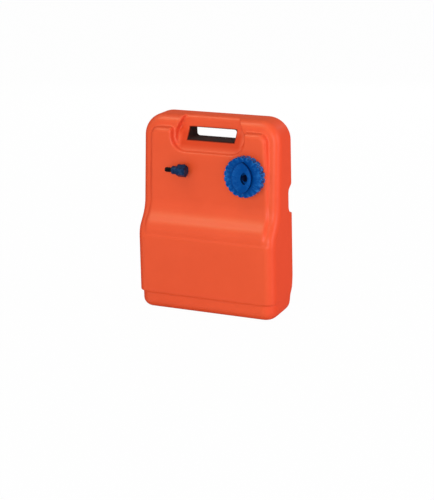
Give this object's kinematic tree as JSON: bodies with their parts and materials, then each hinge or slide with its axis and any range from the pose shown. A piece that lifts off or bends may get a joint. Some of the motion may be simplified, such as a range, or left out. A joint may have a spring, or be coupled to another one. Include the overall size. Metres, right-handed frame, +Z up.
{
  "type": "portable fuel tank",
  "caption": "Upright flat moulded fuel tank with a hand slot through its top, a vented screw filler cap and a hose barb outlet on its front face.",
  "frame": {"origin": "on the ground under the middle of the moulded body", "axes": "+Z up, +X to the right and -Y out of the front face that carries the cap and the outlet"},
  "size_m": [0.3048, 0.116, 0.399],
  "materials": {
    "tank_plastic": "satin moulded",
    "cap_blue": "semi-gloss moulded",
    "vent_navy": "semi-gloss moulded",
    "outlet_navy": "satin moulded",
    "barb_black": "satin moulded",
    "seal_rubber": "matt",
    "pickup_plastic": "natural"
  },
  "bodies": {
    "tank": {"tank_body": "tank_plastic", "outlet_body": "outlet_navy", "outlet_gasket": "seal_rubber", "outlet_collar": "outlet_navy", "barb_seal": "seal_rubber", "hose_barb": "barb_black", "pickup_tube": "pickup_plastic", "pickup_strainer": "pickup_plastic", "strainer_plug": "pickup_plastic"},
    "cap_seat": {"cap_gasket": "seal_rubber"},
    "cap": {"filler_cap": "cap_blue", "vent_seal": "seal_rubber"},
    "vent": {"vent_screw": "vent_navy"}
  },
  "joints": [
    {"name": "cap_rise", "type": "slide", "parent": "tank", "child": "cap_seat", "axis": [0, -1, 0], "range_m": [0, 0.0161]},
    {"name": "cap_turn", "type": "hinge", "parent": "cap_seat", "child": "cap", "pos_m": [0.0865, -0.04, 0.291], "axis": [0, -1, 0], "range_deg": [0, 1440]},
    {"name": "vent_turn", "type": "hinge", "parent": "cap", "child": "vent", "pos_m": [0.093, -0.046, 0.291], "axis": [0, -1, 0], "range_deg": [0, 540]}
  ],
  "couplings": [
    {"joint": "cap_rise", "follows": "cap_turn", "m_per_rad": 0.00063662}
  ]
}
